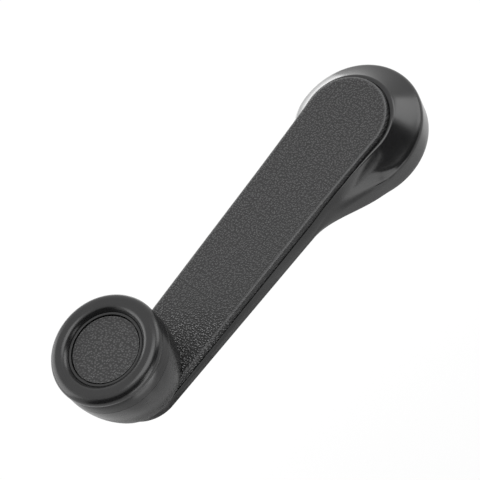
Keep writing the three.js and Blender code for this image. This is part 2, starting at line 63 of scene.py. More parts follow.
def arc(x, y, radius, start, end, steps):
    return [(x + radius * math.cos(a), y + radius * math.sin(a)) for a in spread(start, end, steps)]


def bezier(points, steps):
    curve = []
    for t in spread(0, 1, steps):
        row = list(points)
        while len(row) > 1:
            row = [mix(a, b, t) for a, b in zip(row, row[1:])]
        curve.append(row[0])
    return curve


# A profile's corner with its edge broken, over less than half of either side
def rounded(before, corner, after, radius, steps):
    def pulled(end):
        return mix(corner, end, min(0.49, radius / math.dist(corner, end)))
    return bezier([pulled(before), corner, pulled(after)], steps)


def resample(line, stop, t):  # the line's shape, ended at stop
    end = line[-1]
    whole = max(1e-9, math.dist(line[0], end))
    share = t * math.dist(line[0], stop) / whole
    place = share * (len(line) - 1)
    i = min(len(line) - 2, int(place))
    point = mix(line[i], line[i + 1], place - i)
    return mix(point, stop, t ** 8)


def makePiece(name, verts, faces):
    mesh = bpy.data.meshes.new(name)
    mesh.from_pydata([Vector(v) * mm for v in verts], [], faces)
    mesh.update()
    piece = bpy.data.objects.new(name, mesh)
    bpy.context.scene.collection.objects.link(piece)
    return piece


def lathe(name, profile, count, x=0):  # profile of (radius, height), outside going up
    verts, rings = [], []
    for radius, height in profile:
        if radius == 0:
            rings.append([len(verts)] * count)
            verts.append((x, 0, height))
            continue
        rings.append(range(len(verts), len(verts) + count))
        for i in range(count):
            angle = i * 2 * math.pi / count
            verts.append((x + radius * math.cos(angle), radius * math.sin(angle), height))
    faces = []
    for low, high in zip(rings, rings[1:] + rings[:1]):
        for i in range(count):
            j = (i + 1) % count
            face = list(dict.fromkeys([low[i], low[j], high[j], high[i]]))
            if len(face) > 2:
                faces.append(face)
    return makePiece(name, verts, faces)


def drill(name, radius, bottom, top, count, x=0):
    return lathe(name, [(0, bottom), (radius, bottom), (radius, top), (0, top)], count, x)


# Outlines of (x, y, z) from the lowest to the highest, alike on both sides of the X axis
def loft(name, rows):
    count = len(rows[0])
    faces = []
    for row in range(len(rows) - 1):
        low, high = row * count, (row + 1) * count
        for i in range(count):
            j = (i + 1) % count
            faces.append([low + i, low + j, high + j, high + i])
    top = (len(rows) - 1) * count
    for i in range(count // 2):
        strip = list(dict.fromkeys([i, (count - i) % count, count - i - 1, i + 1]))
        faces.append(strip)
        faces.append([top + v for v in reversed(strip)])
    return makePiece(name, [point for row in rows for point in row], faces)


def prism(name, outline, bottom, top):
    count = len(outline)
    verts = [(x, y, z) for z in (bottom, top) for x, y in outline]
    faces = [[i, (i + 1) % count, count + (i + 1) % count, count + i] for i in range(count)]
    faces += [list(reversed(range(count))), list(range(count, 2 * count))]
    return makePiece(name, verts, faces)


def block(name, x, y, z, turn=0):
    corners = [(x[0], y[0]), (x[1], y[0]), (x[1], y[1]), (x[0], y[1])]
    c, s = math.cos(turn), math.sin(turn)
    return prism(name, [(a * c - b * s, a * s + b * c) for a, b in corners], *z)


def combine(piece, operation, others):
    for other in others:
        step = piece.modifiers.new(other.name, "BOOLEAN")
        step.operation = operation
        step.solver = "MANIFOLD"
        step.object = other
    depsgraph = bpy.context.evaluated_depsgraph_get()
    whole = bpy.data.meshes.new_from_object(piece.evaluated_get(depsgraph))
    piece.modifiers.clear()
    piece.data = whole
    for other in others:
        bpy.data.objects.remove(other)
    return piece


def finishPiece(piece, material, body, slot, *nodes):
    piece.data.materials.clear()
    piece.data.materials.append(material)
    piece.data.shade_smooth()
    piece.data.set_sharp_from_angle(angle=math.radians(sharpAngle))
    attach(piece, body)
    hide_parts(*nodes)
    print("made", piece.name)


# Outlines of the crank and its cover: a round hub, a curve into a straight tapering side,
# and a round end

outlineSteps = {"hub": 72, "blend": 36, "arm": 16, "end": 36}
blendReach = 31
armLength = throw - 0.45  # the arm's end is centred just short of the knob's axis


def grown(outline, by):
    return {key: value if key == "x" else value + by for key, value in outline.items()}


def sideAngle(outline):
    return math.pi / 2 + math.asin((outline["side"] - outline["end"]) / (outline["x"] + armLength))


def halfWidth(outline, distance):
    angle = sideAngle(outline)
    return (outline["side"] + (distance + outline["x"]) * math.cos(angle)) / math.sin(angle)


def halfOutline(outline):
    steps = outlineSteps
    x, hub, side, end = (outline[key] for key in ("x", "hub", "side", "end"))
    angle = sideAngle(outline)
    normal = (math.cos(angle), math.sin(angle))
    reach = blendReach + x
    radius = (reach ** 2 / (hub - side) - (hub + side)) / 2
    centre = (
        x + normal[0] * (side + radius) - normal[1] * reach,
        normal[1] * (side + radius) + normal[0] * reach,
    )
    hubAngle = math.atan2(centre[1], centre[0] - x)
    start = (centre[0] - normal[0] * radius, centre[1] - normal[1] * radius)
    finish = (normal[0] * end - armLength, normal[1] * end)
    points = arc(x, 0, hub, 0, hubAngle, steps["hub"])
    points += arc(*centre, radius, hubAngle + math.pi, angle + math.pi, steps["blend"])[1:]
    points += [mix(start, finish, t) for t in spread(0, 1, steps["arm"])[1:]]
    points += arc(-armLength, 0, end, angle, math.pi, steps["end"])[1:]
    return points


def wholeOutline(outline, by=0):
    half = halfOutline(grown(outline, by))
    return half + [(x, -y) for x, y in reversed(half[1:-1])]


# Crank body

crank = {
    "base": {"x": 0, "hub": 18.6, "side": 12.05, "end": 10.3},
    "ridge": {"x": 0, "hub": 19.76, "side": 12.55, "end": 10.8},
    "rim": {"x": -0.6, "hub": 13.75, "side": 12.45, "end": 10.7},
    "cover": {"x": -0.8, "hub": 12.6, "side": 12.2, "end": 10.5},
    "ridgeHeight": 8,
    "rimHeight": 14.1,
    "rimRound": 0.45,
    "rimInnerBevel": 0.16,
    "armSquare": 0.8,  # share of the rim's rounding that the arm goes without
    "armSquareFrom": (9, 20),
    "ridgeRound": 0.12,  # share of the skirt and of the flank
    "ridgeRoundAtRoot": 0.42,
    "rootFrom": (2, 13),
    "rootEnd": 24,
    "flankHollow": 0.06,
    "sideBelly": 0.16,  # how far the arm's side swells between its edges
    "footRound": 0.35,
    "footShare": 0.45,  # most of the skirt that the foot's rounding takes
    "undersideStart": 11,
    "undersideEnd": 33,
    "undersideAtBlend": 7.75,
    "undersideAtKnob": 10,
    "armEdge": 0.9,
    "ledge": 13.3,
    "ledgeWidth": 1.5,
    "rimPassed": 0.001,  # the bevel's cutter starts to rise straight just over the rim
    "coverGap": 0.3,
    "floor": 1.5,
    "channel": (20.5, 83.5),
    "channelRibs": (37.5, 62.5),
    "channelRib": 1.2,
    "channelRibDrop": 0.4,
    "backInset": 0.12,  # the round back behind the arm's root stays just inside the skirt
    "skirtWall": 1.9,
    "skirtWallDrop": 0.95,
    "roof": 11.3,
    "roofRadius": 12.8,
    "boss": 9.2,
    "bossRecess": 0.6,
    "bossClearance": 0.4,
    "bellRibs": 4,
    "bellRib": 1.6,
    "insertRadius": 7.1,
    "insertTop": 9,
    "flangeRadius": 7.6,
    "flangeBottom": 8,
    "flangeTop": 15,
    "shankHole": 2.9,
    "rivetHole": 5.8,
    "rivetRecess": 11.5,
}
crankSteps = {"foot": 4, "skirt": 4, "ridge": 8, "flankCurve": 14, "flank": 12, "rim": 6}
cutters = {"below": -1, "side": 20, "top": 14, "past": 1}  # how far the cutting shapes reach


def undersideAt(x):
    s = crank
    if -x > s["undersideEnd"]:
        share = (-x - s["undersideEnd"]) / (throw - s["undersideEnd"])
        return s["undersideAtBlend"] + (s["undersideAtKnob"] - s["undersideAtBlend"]) * share
    return s["undersideAtBlend"] * smoothStep(-x, s["undersideStart"], s["undersideEnd"])


def ridgeAt(x):
    s = crank
    share = smoothStep(-x, s["undersideStart"], s["undersideEnd"])
    return undersideAt(x) + s["ridgeHeight"] + (s["armEdge"] - s["ridgeHeight"]) * share


def ridgeRoundAt(x):  # the ridge melts away where the hub runs into the arm
    s = crank
    melt = smoothStep(-x, *s["rootFrom"]) * (1 - smoothStep(-x, s["rootEnd"], s["undersideEnd"]))
    return s["ridgeRound"] + (s["ridgeRoundAtRoot"] - s["ridgeRound"]) * melt


def flankLine(start, top, ridge, base):  # hollow round the hub, swollen along the arm
    s, steps = crank, crankSteps["flankCurve"]
    hollow = mix(start, top, 0.5 + s["flankHollow"])
    hollow = (*hollow[:2], start[2] + (top[2] - start[2]) * (0.5 - s["flankHollow"]))
    belly = s["sideBelly"] * smoothStep(-ridge[0], s["undersideStart"], s["undersideEnd"])
    length = math.dist(ridge, base)
    out = ((ridge[0] - base[0]) / length, (ridge[1] - base[1]) / length)
    return [
        (x + out[0] * belly * 4 * t * (1 - t), y + out[1] * belly * 4 * t * (1 - t), z)
        for (x, y, z), t in zip(bezier([start, hollow, top], steps), spread(0, 1, steps))
    ]


def crankColumn(low, base, ridge, rim, land):  # one line up the crank's side, from foot to rim
    s, steps = crank, crankSteps
    foot = (*low, undersideAt(low[0]))
    corner = (*base, undersideAt(base[0]))
    edge = (*ridge, ridgeAt(ridge[0]))
    top = (*rim, s["rimHeight"])
    footShare = min(s["footShare"], s["footRound"] / math.dist(corner, edge))
    skirtStart = mix(corner, edge, footShare)
    ridgeShare = ridgeRoundAt(ridge[0])
    skirtEnd = mix(edge, corner, ridgeShare)
    flankStart = mix(edge, top, ridgeShare)
    flank = flankLine(flankStart, top, ridge, base)
    squared = 1 - s["armSquare"] * smoothStep(-ridge[0], *s["armSquareFrom"])
    rimShare = min(0.5, squared * s["rimRound"] / math.dist(flankStart, top))
    turned = bezier([mix(top, flankStart, rimShare), top, (*land, s["rimHeight"])], steps["rim"])
    return [
        foot,
        *bezier([foot, corner, skirtStart], steps["foot"])[1:],
        *bezier([skirtStart, skirtEnd], steps["skirt"])[1:],
        *bezier([skirtEnd, edge, flankStart], steps["ridge"])[1:],
        *[resample(flank, turned[0], t) for t in spread(0, 1, steps["flank"])[1:]],
        *turned[1:],
    ]


def crankForm(name, lift=0):
    s = crank
    columns = [crankColumn(*points) for points in zip(
        wholeOutline(s["base"], -s["footRound"]), wholeOutline(s["base"]),
        wholeOutline(s["ridge"]), wholeOutline(s["rim"]), wholeOutline(s["rim"], -s["rimRound"]))]
    return loft(name, [[(x, y, z + lift) for x, y, z in row] for row in zip(*columns)])


def bellBack():  # closes the hub's round under the root of the arm
    s = crank
    height = s["ridgeHeight"] * (1 - s["ridgeRound"])
    base, ridge = s["base"]["hub"], s["ridge"]["hub"]
    shoulder = (ridge + (base - ridge) * s["ridgeRound"] - s["backInset"], height)
    corner = (base - s["backInset"], 0)
    foot = rounded((0, 0), corner, shoulder, s["footRound"], crankSteps["foot"])
    return lathe("bellBack", [(0, 0), *foot, shoulder, (0, height)], sides["hub"])


def bellHollow():
    s = crank
    wall = s["base"]["hub"] - s["skirtWall"]
    hollow = lathe("hollow", [
        (s["boss"], cutters["below"]),
        (wall, cutters["below"]),
        (wall, 0),
        (s["ridge"]["hub"] - s["skirtWall"], s["ridgeHeight"] - s["skirtWallDrop"]),
        (s["roofRadius"], s["roof"]),
        (s["boss"], s["roof"]),
    ], sides["hollow"])
    count, half = s["bellRibs"], s["bellRib"] / 2
    along, up = (0, cutters["side"]), (s["bossRecess"], cutters["top"])
    combine(hollow, "DIFFERENCE", [
        block("rib%d" % i, along, (-half, half), up, (i + 0.5) * 2 * math.pi / count)
        for i in range(count)
    ])
    return hollow


def coverRebate():
    s = crank
    mouth = wholeOutline(s["cover"], s["coverGap"])
    wide = wholeOutline(s["cover"], s["coverGap"] + s["rimInnerBevel"])
    rim = s["rimHeight"]
    return loft("rebate", [
        [(x, y, z) for x, y in outline]
        for outline, z in ((mouth, s["ledge"]), (mouth, rim - s["rimInnerBevel"]),
                           (wide, rim + s["rimPassed"]), (wide, rim + cutters["past"]))
    ])


def armChannel():
    s = crank
    ledge = grown(s["cover"], -s["ledgeWidth"])
    start, end = s["channel"]
    corners = [(-start, halfWidth(ledge, start)), (-end, halfWidth(ledge, end))]
    corners += [(x, -y) for x, y in reversed(corners)]
    channel = prism("channel", corners, 0, s["rimHeight"] + cutters["past"])
    combine(channel, "INTERSECT", [crankForm("floorForm", s["floor"])])
    half = s["channelRib"] / 2
    across, up = (-cutters["side"], cutters["side"]), (0, s["ledge"] - s["channelRibDrop"])
    return combine(channel, "DIFFERENCE", [
        *[block("rib", (-x - half, -x + half), across, up) for x in s["channelRibs"]],
        block("spine", (-end - cutters["past"], 0), (-half, half), up),
    ])


def crankHoles():
    s, below, top = crank, cutters["below"], cutters["top"]
    return [
        drill("insertHole", s["insertRadius"], below, s["insertTop"], sides["insert"]),
        drill("flangeHole", s["flangeRadius"], s["flangeBottom"], s["flangeTop"], sides["hole"]),
        drill("bossEnd", s["boss"] + s["bossClearance"], below, s["bossRecess"], sides["hole"]),
        drill("shankHole", s["shankHole"], 0, top, sides["shank"], -throw),
        drill("rivetHole", s["rivetHole"], 0, s["rivetRecess"], sides["hole"], -throw),
    ]


def crankBody():
    shell = crankForm("crankShell")
    combine(shell, "UNION", [bellBack()])
    return combine(shell, "DIFFERENCE", [bellHollow(), coverRebate(), armChannel(), *crankHoles()])


# Grained cover

cover = {
    "top": 15.85,
    "edge": (1.5, 0.32),  # across, down
    "wall": 1.2,
    "thickness": 1.5,
    "slot": 6.6,
    "footBevel": 0.08,
    "topRing": 0.05,  # keeps the flat top's shading level
    "cutter": (12, 17),  # heights where the cuts start and where the slot's cut ends
}
coverSteps = {"edge": 12, "slot": 48}


def armCover():
    s, outline = cover, crank["cover"]
    across, down = s["edge"]
    rows = [
        (-s["footBevel"], crank["ledge"]),
        (0, crank["ledge"] + s["footBevel"]),
        *[(-across * (1 - math.cos(a)), s["top"] - down * (1 - math.sin(a)))
          for a in spread(0, math.pi / 2, coverSteps["edge"])],
        (-across - s["topRing"], s["top"]),
    ]
    tray = loft("trimCover", [[(x, y, z) for x, y in wholeOutline(outline, by)] for by, z in rows])
    low, high = s["cutter"]
    inside = prism("inside", wholeOutline(outline, -s["wall"]), low, s["top"] - s["thickness"])
    slotEnd = -throw - outline["end"] - cutters["past"]
    slot = arc(-throw, 0, s["slot"], -math.pi / 2, math.pi / 2, coverSteps["slot"])
    slot += [(slotEnd, s["slot"]), (slotEnd, -s["slot"])]
    return combine(tray, "DIFFERENCE", [inside, prism("slot", slot, low, high)])


# Knob

knob = {
    "foot": 16.4,
    "bulge": 31.15,
    "waist": 34.65,
    "top": 38.37,
    "dishFloor": 37,
    "footRadius": 13.05,
    "footRound": 0.7,
    "footFlare": 0.45,
    "bulgeRadius": 16.2,
    "waistRadius": 15.53,
    "rimRadius": 16.25,
    "rimRound": (2.35, 2.35),  # across, down
    "aboveBulge": (0.12, 1.3),  # in and up, pulls the side's curve
    "belowWaist": (0.3, 0.5),  # in from the bulge and down from the waist
    "waistPull": 0.6,
    "rimPull": 0.9,
    "dishRadius": 12,
    "dishRound": 1.1,
    "dishFloorRadius": 10.95,
    "crease": 0.2,  # a fine groove at the foot of the dish
    "creaseSlope": 0.6,
    "boreRadius": 10.15,
    "boreRound": 0.1,
    "partingLine": 0.05,
    "wall": 2.1,
    "floor": 2,
    "capSeat": 34.9,
    "capLedge": 0.9,
    "capLedgeThickness": 1.3,
    "tubeInner": 5.15,
    "tubeOuter": 7.15,
    "tubeTop": 30.6,
}
knobSteps = {"foot": 8, "lower": 24, "upper": 28, "under": 20, "rim": 28, "dish": 10, "bore": 4}


def knobSide():  # from the foot up to the waist, with the parting line round the bulge
    s, steps = knob, knobSteps
    foot, waist, line = s["foot"], s["waist"], s["partingLine"]
    side = (s["footRadius"] + s["footFlare"], foot + s["footRound"] + s["footFlare"])
    bulge = (s["bulgeRadius"], s["bulge"])
    edge = bezier([(s["footRadius"] - s["footRound"], foot), (s["footRadius"], foot), side],
                  steps["foot"])
    lower = bezier([side, (s["bulgeRadius"], (side[1] + s["bulge"]) / 2), bulge], steps["lower"])
    upper = bezier([
        bulge,
        (bulge[0] - s["aboveBulge"][0], bulge[1] + s["aboveBulge"][1]),
        (bulge[0] - s["belowWaist"][0], waist - s["belowWaist"][1]),
        (s["waistRadius"], waist - s["waistPull"]),
        (s["waistRadius"], waist),
    ], steps["upper"])
    return [
        *edge,
        *lower[1:-1],
        (bulge[0], bulge[1] - line),
        (bulge[0] - line, bulge[1]),
        (bulge[0], bulge[1] + line),
        *upper[1:],
    ]


def knobRim(waist):  # from the waist over the rim to its inner side
    s, steps = knob, knobSteps
    across, down = s["rimRound"]
    rim = [(s["rimRadius"] - across + across * math.cos(a), s["top"] - down + down * math.sin(a))
           for a in spread(0, math.pi / 2, steps["rim"])]
    under = bezier([
        waist,
        (s["waistRadius"], s["waist"] + s["waistPull"]),
        (rim[0][0], rim[0][1] - s["rimPull"]),
        rim[0],
    ], steps["under"])
    return under[1:] + rim[1:]


def knobBody():
    s, steps = knob, knobSteps
    side = knobSide()
    rim = knobRim(side[-1])
    foot = (s["dishFloorRadius"], s["dishFloor"])
    bore, ledge = s["boreRadius"], s["boreRadius"] - s["capLedge"]
    profile = [
        (s["tubeInner"], s["foot"]),
        *side,
        *rim,
        *rounded(rim[-1], (s["dishRadius"], s["top"]), foot, s["dishRound"], steps["dish"]),
        (foot[0] + s["crease"] * s["creaseSlope"], foot[1] + s["crease"]),
        (foot[0], foot[1] - s["crease"]),
        (foot[0] - s["crease"], foot[1]),
        *rounded(foot, (bore, s["dishFloor"]), (bore, s["capSeat"]), s["boreRound"], steps["bore"]),
        (bore, s["capSeat"]),
        (ledge, s["capSeat"]),
        (ledge, s["capSeat"] - s["capLedgeThickness"]),
        (s["bulgeRadius"] - s["wall"], s["bulge"]),
        (s["footRadius"] - s["wall"], s["foot"] + s["floor"]),
        (s["tubeOuter"], s["foot"] + s["floor"]),
        (s["tubeOuter"], s["tubeTop"]),
        (s["tubeInner"], s["tubeTop"]),
    ]
    return lathe("knobShell", profile, sides["knob"], -throw)


cap = {
    "radius": 9.76,
    "face": 36.8,
    "edge": 0.12,
    "edgeSteps": 4,
    "seat": 34.9,
}


def knobCap():
    s = cap
    foot, corner = (s["radius"], s["seat"]), (s["radius"], s["face"])
    return lathe("knobDisc", [
        (0, s["seat"]),
        foot,
        *rounded(foot, corner, (0, s["face"]), s["edge"], s["edgeSteps"]),
        (s["radius"] - 2 * s["edge"], s["face"]),
        (0, s["face"]),
    ], sides["knob"], -throw)


# Materials

def newMaterial(name):
    material = bpy.data.materials.new(name)
    material.use_nodes = True
    tree = material.node_tree
    return material, tree, tree.nodes["Principled BSDF"]


def addNode(tree, kind, **settings):
    node = tree.nodes.new(kind)
    for key, value in settings.items():
        if hasattr(node, key):
            setattr(node, key, value)
        else:
            node.inputs[key].default_value = value
    return node


def objectPlace(tree):
    return tree.nodes.new("ShaderNodeTexCoord").outputs["Object"]


def rampNode(tree, source, *stops):
    ramp = tree.nodes.new("ShaderNodeValToRGB")
    elements = ramp.color_ramp.elements
    while len(elements) < len(stops):
        elements.new(0.5)
    for element, (place, value) in zip(elements, stops):
        element.position = place
        element.color = (value, value, value, 1) if isinstance(value, float) else (*value, 1)
    tree.links.new(source, ramp.inputs["Fac"])
    return ramp.outputs["Color"]


def rangeNode(tree, source, low, high, start, end, **settings):
    node = addNode(tree, "ShaderNodeMapRange", **settings)
    for key, value in zip(("From Min", "From Max", "To Min", "To Max"), (low, high, start, end)):
        node.inputs[key].default_value = value
    tree.links.new(source, node.inputs["Value"])
    return node.outputs["Result"]


def mathNode(tree, operation, first, second):
    node = addNode(tree, "ShaderNodeMath", operation=operation)
    tree.links.new(first, node.inputs[0])
    tree.links.new(second, node.inputs[1])
    return node.outputs[0]


def noiseNode(tree, place, output, **settings):
    node = addNode(tree, "ShaderNodeTexNoise", **settings)
    tree.links.new(place, node.inputs["Vector"])
    return node.outputs[output]


def bumpNode(tree, height, strength, distance):
    node = addNode(tree, "ShaderNodeBump", Strength=strength, Distance=distance)
    tree.links.new(height, node.inputs["Height"])
    return node.outputs["Normal"]


def shaded(colour, share):
    return tuple(c * share for c in colour)


def feed(tree, shader, **sources):  # links each source to the shader's socket of that name
    for key, source in sources.items():
        tree.links.new(source, shader.inputs[key.replace("_", " ")])


satin = {
    "colour": (0.0095, 0.0095, 0.0098),
    "tints": (0.93, 1.08),
    "tintStops": (0.3, 0.75),
    "crankRoughness": 0.21,
    "knobRoughness": 0.26,
    "roughnessSwing": (-0.015, 0.02),
    "roughnessStops": (0.3, 0.7),
    "cloudScale": 220.0,
    "mouldScale": 2600.0,
    "mouldWave": (0.25, 0.006),  # strength, height
}


def satinPlastic(name, roughness):
    s = satin
    material, tree, shader = newMaterial(name)
    place = objectPlace(tree)
    cloud = noiseNode(tree, place, "Fac", Scale=s["cloudScale"], Detail=3.0, Roughness=0.6)
    mould = noiseNode(tree, place, "Fac", Scale=s["mouldScale"], Detail=2.0)
    strength, height = s["mouldWave"]
    tints = [shaded(s["colour"], share) for share in s["tints"]]
    sheens = [roughness + swing for swing in s["roughnessSwing"]]
    tint = rampNode(tree, cloud, *zip(s["tintStops"], tints))
    sheen = rampNode(tree, cloud, *zip(s["roughnessStops"], sheens))
    wave = bumpNode(tree, mould, strength, height * mm)
    feed(tree, shader, Base_Color=tint, Roughness=sheen, Normal=wave)
    return material


grain = {
    # the grooves' colour is a painted shade and the crowns' colour a painted glint, either side of
    # the mid tone
    "grooveShade": (0.008, 0.008, 0.0083),
    "colour": (0.021, 0.021, 0.0214),
    "crown": (0.05, 0.05, 0.051),
    "stops": (0.08, 0.35, 0.8),  # heights of a pebble that take the three colours: painted shade in the grooves, the mid tone, painted glints on the crowns
    "roughness": 0.44,
    "roughnessSwing": (0.2, -0.08),  # in the grooves, on the crowns
    "roughnessStops": (0.05, 0.5),
    "coverDepth": 0.2,
    "discDepth": 0.17,
    "coverPebble": 0.64,  # across one pebble
    "discPebble": 0.74,
    "pebbleReach": 0.56,  # from a pebble's middle to its groove, as a share of its size
    "randomness": 0.85,
    "lowestCrown": 0.45,
    "unevenFrom": (0.3, 0.7),  # the noise between which a crown rises from lowest to full
    "bend": 0.2,  # how far a pebble's outline wanders, as a share of its size
    "bendScale": 0.8,
    "unevenScale": 0.55,
    "lean": (0.8, 0.6, 0),  # leans the pattern by its height, so that the walls get pebbles too
    "crispAndShaded": (-64, -77),  # the cover's grain grows deeper towards the knob, with darker painted shade and brighter painted glints
    "crispSlant": 0.6,
    "crispDepth": 2.1,
    # beside the knob: painted darker shade in the grooves and the mid tone, painted bright glints
    # on the crowns
    "crispShadeGroove": (0.003, 0.003, 0.0031),
    "crispShadeColour": (0.007, 0.007, 0.0072),
    "crispGlintCrown": (0.23, 0.23, 0.233),
    "crispShadeStops": (0.12, 0.35, 0.7),
    "edgeHighlightColour": (0.1, 0.1, 0.101),  # the rounded edge, painted lighter as a highlight
    "edgeHighlightShare": 0.62,
    "edgeStops": (0.3, 0.6, 0.965, 0.995),  # from the wall's slope to the flat top's
}


def pebbleHeight(tree, place, pebble):  # 0 in the grooves, up to 1 on the crowns
    s, links = grain, tree.links
    size = 1 / (pebble * mm)
    wander = s["bend"] * pebble * mm
    parts = tree.nodes.new("ShaderNodeSeparateXYZ")
    lean = addNode(tree, "ShaderNodeVectorMath", operation="MULTIPLY_ADD")
    lean.inputs[1].default_value = s["lean"]
    links.new(place, parts.inputs[0])
    links.new(parts.outputs["Z"], lean.inputs[0])
    links.new(place, lean.inputs[2])
    shift = addNode(tree, "ShaderNodeVectorMath", operation="MULTIPLY_ADD")
    shift.inputs[1].default_value = (wander, wander, wander)
    bend = noiseNode(tree, place, "Color", Scale=size * s["bendScale"], Detail=1.0)
    links.new(bend, shift.inputs[0])
    links.new(lean.outputs[0], shift.inputs[2])
    pebbles = addNode(tree, "ShaderNodeTexVoronoi", voronoi_dimensions="2D", feature="F1",
                      Scale=size, Randomness=s["randomness"])
    links.new(shift.outputs[0], pebbles.inputs["Vector"])
    crown = rangeNode(tree, pebbles.outputs["Distance"], s["pebbleReach"], 0, 0, 1,
                      interpolation_type="SMOOTHSTEP")
    soft = noiseNode(tree, place, "Fac", Scale=size * s["unevenScale"], Detail=2.0, Roughness=0.6)
    uneven = rangeNode(tree, soft, *s["unevenFrom"], s["lowestCrown"], 1)
    return mathNode(tree, "MULTIPLY", crown, uneven)


def crispShadeShare(tree, place, most):  # 0 on the hub, rising to most beside the knob: the share of deeper grain and of painted shade and glints
    start, end = grain["crispAndShaded"]
    slanted = addNode(tree, "ShaderNodeVectorMath", operation="DOT_PRODUCT")
    slanted.inputs[1].default_value = (1, grain["crispSlant"], 0)
    tree.links.new(place, slanted.inputs[0])
    return rangeNode(tree, slanted.outputs["Value"], start * mm, end * mm, 0, most,
                     interpolation_type="SMOOTHSTEP")


def colourMix(tree, share, first):  # gives the socket of the second colour, and the mix
    node = addNode(tree, "ShaderNodeMix", data_type="RGBA")
    tree.links.new(share, node.inputs[0])
    tree.links.new(first, node.inputs[6])
    return node.inputs[7], node.outputs[2]


# the grain's tone with painted light: painted shade in the grooves, painted glints on the crowns,
# both stronger beside the knob, and a painted highlight on rounded edges
def grainToneWithPaintedLight(tree, height, crispAndShaded):
    s = grain
    plainShadeAndGlints = (s["grooveShade"], s["colour"], s["crown"])
    shadeAndGlints = (s["crispShadeGroove"], s["crispShadeColour"], s["crispGlintCrown"])
    plain = rampNode(tree, height, *zip(s["stops"], plainShadeAndGlints))
    # the ramp of painted shade and painted glints beside the knob
    shadedNearKnob = rampNode(tree, height, *zip(s["crispShadeStops"], shadeAndGlints))
    second, colour = colourMix(tree, crispAndShaded, plain)
    tree.links.new(shadedNearKnob, second)
    # a painted highlight on the rounded edges, where the surface's normal slopes between the wall
    # and the flat top
    surface = tree.nodes.new("ShaderNodeNewGeometry")
    slope = tree.nodes.new("ShaderNodeSeparateXYZ")
    tree.links.new(surface.outputs["Normal"], slope.inputs[0])
    highlightShares = (0.0, s["edgeHighlightShare"], s["edgeHighlightShare"], 0.0)
    highlightOnEdge = rampNode(tree, slope.outputs["Z"], *zip(s["edgeStops"], highlightShares))
    second, colour = colourMix(tree, highlightOnEdge, colour)
    second.default_value = (*s["edgeHighlightColour"], 1)
    return colour


def grainedPlastic(name, pebble, depth, most):
    s = grain
    material, tree, shader = newMaterial(name)
    place = objectPlace(tree)
    height = pebbleHeight(tree, place, pebble)
    crispAndShaded = crispShadeShare(tree, place, most)
    deeper = rangeNode(tree, crispAndShaded, 0, 1, 1, s["crispDepth"])
    relief = bumpNode(tree, mathNode(tree, "MULTIPLY", height, deeper), 1.0, depth * mm)
    dulls = [s["roughness"] + swing for swing in s["roughnessSwing"]]
    dull = rampNode(tree, height, *zip(s["roughnessStops"], dulls))
    feed(tree, shader, Base_Color=grainToneWithPaintedLight(tree, height, crispAndShaded), Roughness=dull, Normal=relief)
    return material


metals = {
    "steel": ((0.5, 0.5, 0.51), 0.32),  # colour, roughness
    "zinc": ((0.66, 0.67, 0.7), 0.26),
    "darkest": 0.8,
    "roughnessSwing": (-0.06, 0.08),
    "stops": (0.3, 0.7),
    "cloudScale": 900.0,
}


def metal(name, colour, roughness):
    s = metals
    material, tree, shader = newMaterial(name)
    shader.inputs["Metallic"].default_value = 1
    cloud = noiseNode(tree, objectPlace(tree), "Fac", Scale=s["cloudScale"], Detail=4.0)
    dulls = [roughness + swing for swing in s["roughnessSwing"]]
    tint = rampNode(tree, cloud, *zip(s["stops"], (shaded(colour, s["darkest"]), colour)))
    dull = rampNode(tree, cloud, *zip(s["stops"], dulls))
    feed(tree, shader, Base_Color=tint, Roughness=dull)
    return material


bush = {
    "colours": ((0.64, 0.61, 0.52), (0.74, 0.71, 0.62)),
    "stops": (0.3, 0.7),
    "roughness": 0.42,
    "cloudScale": 500.0,
}


def bushPlastic(name):
    s = bush
    material, tree, shader = newMaterial(name)
    cloud = noiseNode(tree, objectPlace(tree), "Fac", Scale=s["cloudScale"], Detail=3.0)
    feed(tree, shader, Base_Color=rampNode(tree, cloud, *zip(s["stops"], s["colours"])))
    shader.inputs["Roughness"].default_value = s["roughness"]
    return material


crankPlastic = satinPlastic("black plastic", satin["crankRoughness"])
knobPlastic = satinPlastic("knob plastic", satin["knobRoughness"])
coverPlastic = grainedPlastic("grained plastic", grain["coverPebble"], grain["coverDepth"], 1)
discPlastic = grainedPlastic("grained disc plastic", grain["discPebble"], grain["discDepth"], 0)
steel = metal("steel", *metals["steel"])
zinc = metal("zinc plate", *metals["zinc"])
bushWhite = bushPlastic("bush plastic")
print("materials made")

finishPiece(crankBody(), crankPlastic, "crank", "black_plastic", "crank_body")
finishPiece(armCover(), coverPlastic, "crank", "grained_plastic", "arm_cover")
finishPiece(knobBody(), knobPlastic, "knob", "knob_plastic", "knob_body")
finishPiece(knobCap(), discPlastic, "knob", "grained_plastic", "knob_cap")

carriedOver = {
    "spline_insert": steel,
    "screw_washer": zinc,
    "screw_lock_washer": steel,
    "fixing_screw": zinc,
    "knob_spindle": steel,
    "rivet_washer": zinc,
    "knob_wave_washer": steel,
    "knob_bush": bushWhite,
    "spindle_head_washer": zinc,
}
for name, material in carriedOver.items():
    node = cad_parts[name]
    node.data.materials.clear()
    node.data.materials.append(material)
print("dressed", len(carriedOver), "pieces of the frame")


# Studio

studio = {
    "lens": 301.04,
    "sensor": 36,
    "clip": (0.05, 20),
    "distance": 1.1005,
    "aim": (-0.046, 0, 0.00736),
    "right": (0.6130, -0.6865, -0.3912),
    "up": (0.7831, 0.4622, 0.4161),
    "back": (-0.1049, -0.5614, 0.8209),
    "shift": (-0.003823, 0.005476),
    "middle": (-0.046, 0, 0.015),
    "hub": (0, 0, 0.012),
    "floorHeight": -0.3,
    "floorEdge": 4,
    "floorColour": (0.8, 0.8, 0.8, 1),
    "floorWhite": 0.85,  # how far the floor looks plain white to the camera
    "worldLight": 1,
}

